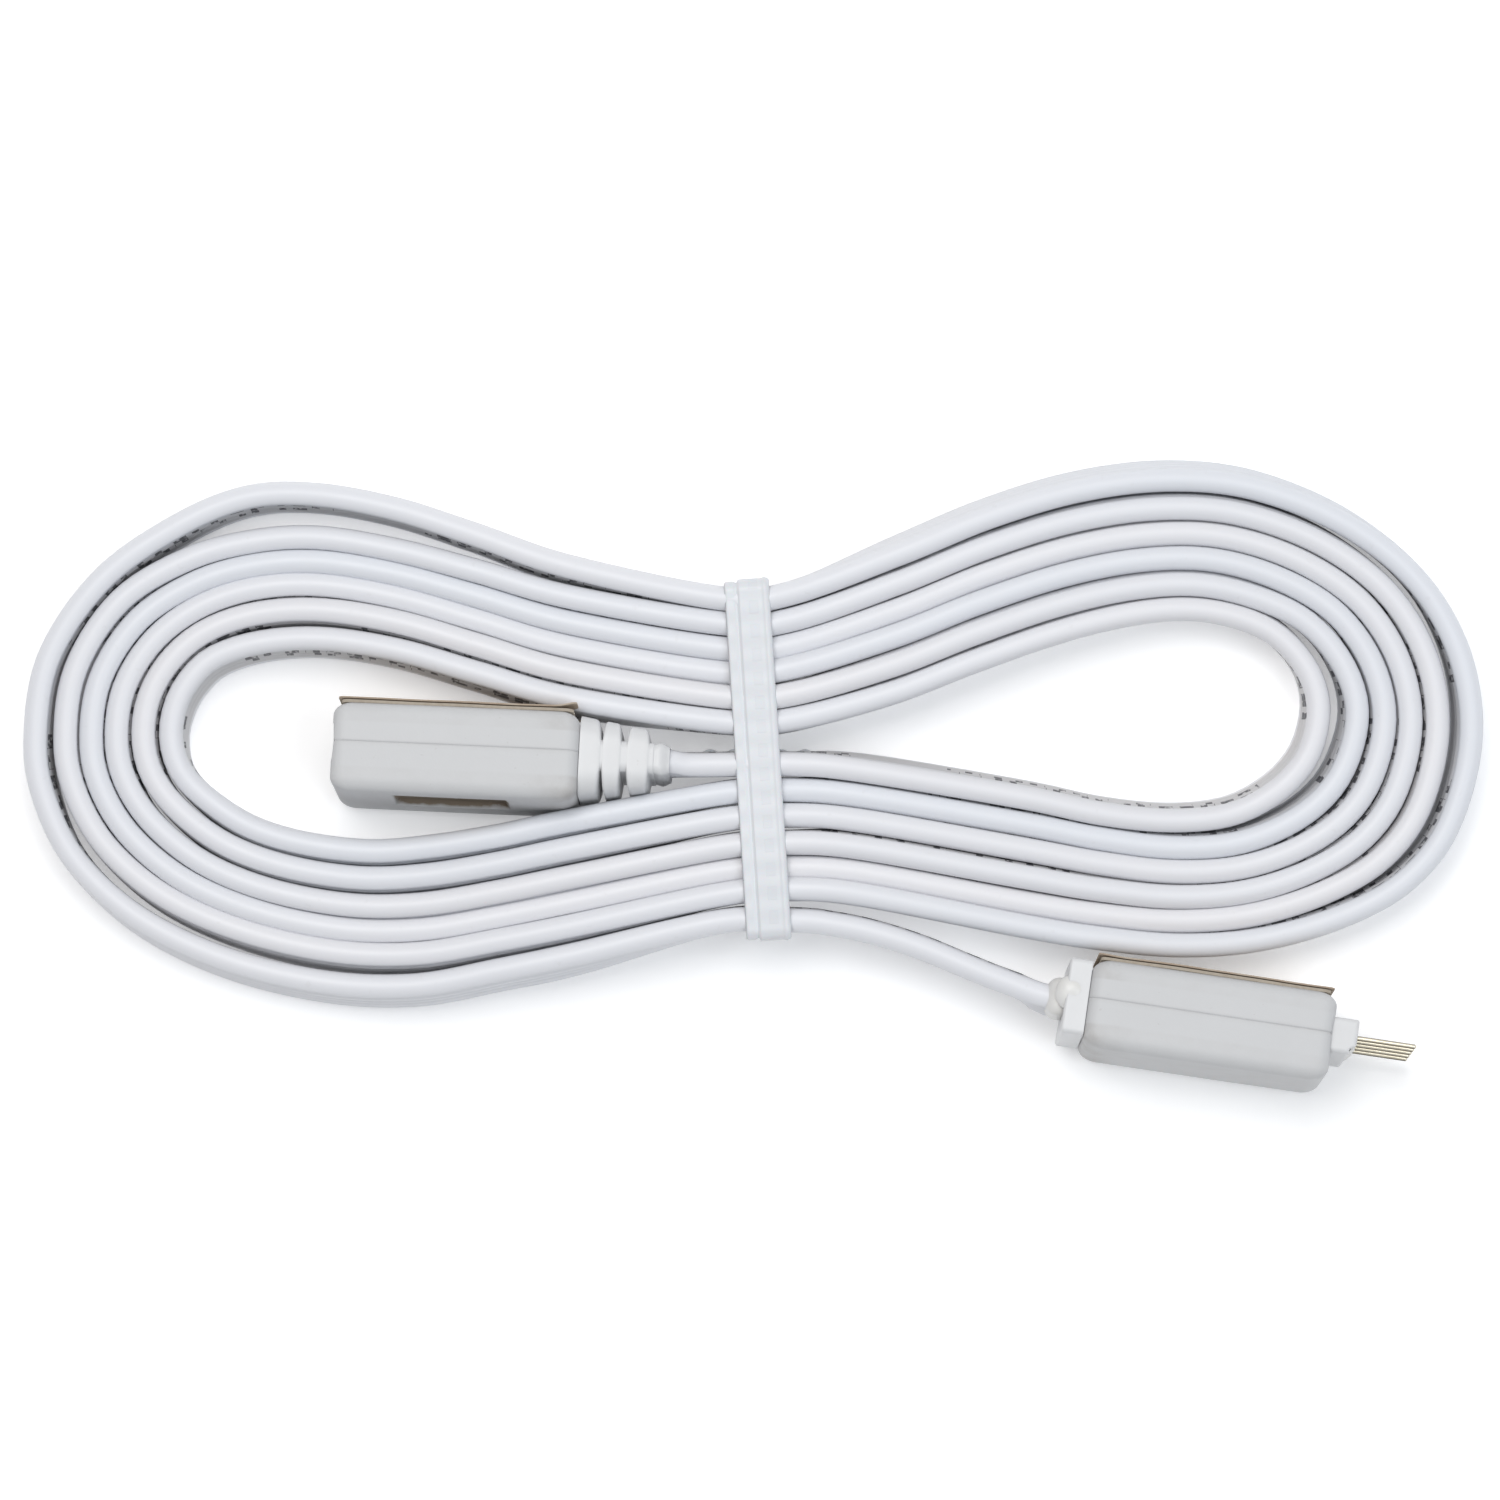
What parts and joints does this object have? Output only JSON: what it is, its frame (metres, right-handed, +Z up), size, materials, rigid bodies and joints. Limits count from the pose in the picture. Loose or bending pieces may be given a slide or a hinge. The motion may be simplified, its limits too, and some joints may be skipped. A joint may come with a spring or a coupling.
{
  "type": "extension cord",
  "caption": "Flat white low-voltage extension cord wound in a tied hank, with a pin plug at one end and a matching socket at the other.",
  "frame": {"origin": "on the surface that the hank lies on, under the middle of its bounding box", "axes": "+X along the hank towards the plug's pins, +Y across the hank away from the plug, +Z up"},
  "size_m": [0.1596, 0.0698, 0.0165],
  "materials": {
    "jacket": "semi-gloss white PVC",
    "shell": "fine matt light grey-white",
    "moulding": "milky white, slightly clear",
    "glue": "set cream-coloured glue",
    "gold": "thin gold plating, satin",
    "board": "green solder resist on glass-fibre board",
    "pad": "grey closed-cell foam",
    "liner": "brown release paper",
    "tie": "satin white plastic film",
    "wire": "cut ends of thin steel wire",
    "insulation_black": "satin",
    "insulation_green": "satin",
    "insulation_red": "satin",
    "insulation_blue": "satin",
    "insulation_white": "satin"
  },
  "bodies": {
    "root": {"cord_hank": "jacket", "cord_plug_lead": "jacket", "cord_socket_lead": "jacket", "plug_adhesive_pad": "pad", "plug_back_shell": "shell", "plug_circuit_board": "board", "plug_cord_clamp": "moulding", "plug_cord_collar": "moulding", "plug_cord_end": "jacket", "plug_cord_glue": "glue", "plug_core_1": "insulation_black", "plug_core_2": "insulation_green", "plug_core_3": "insulation_red", "plug_core_4": "insulation_blue", "plug_core_5": "insulation_white", "plug_front_shell": "shell", "plug_header_block": "moulding", "plug_pin_1": "gold", "plug_pin_2": "gold", "plug_pin_3": "gold", "plug_pin_4": "gold", "plug_pin_5": "gold", "plug_pin_seal": "glue", "plug_release_liner": "liner", "socket_adhesive_pad": "pad", "socket_back_shell": "shell", "socket_circuit_board": "board", "socket_contact_1": "gold", "socket_contact_2": "gold", "socket_contact_3": "gold", "socket_contact_4": "gold", "socket_contact_5": "gold", "socket_contact_block": "moulding", "socket_cord_clamp": "moulding", "socket_cord_end": "jacket", "socket_core_1": "insulation_black", "socket_core_2": "insulation_green", "socket_core_3": "insulation_red", "socket_core_4": "insulation_blue", "socket_core_5": "insulation_white", "socket_front_shell": "shell", "socket_release_liner": "liner", "socket_strain_relief": "moulding", "tie_strap": "tie", "tie_twist": "tie", "tie_wire_end_1": "wire", "tie_wire_end_2": "wire"}
  },
  "joints": []
}
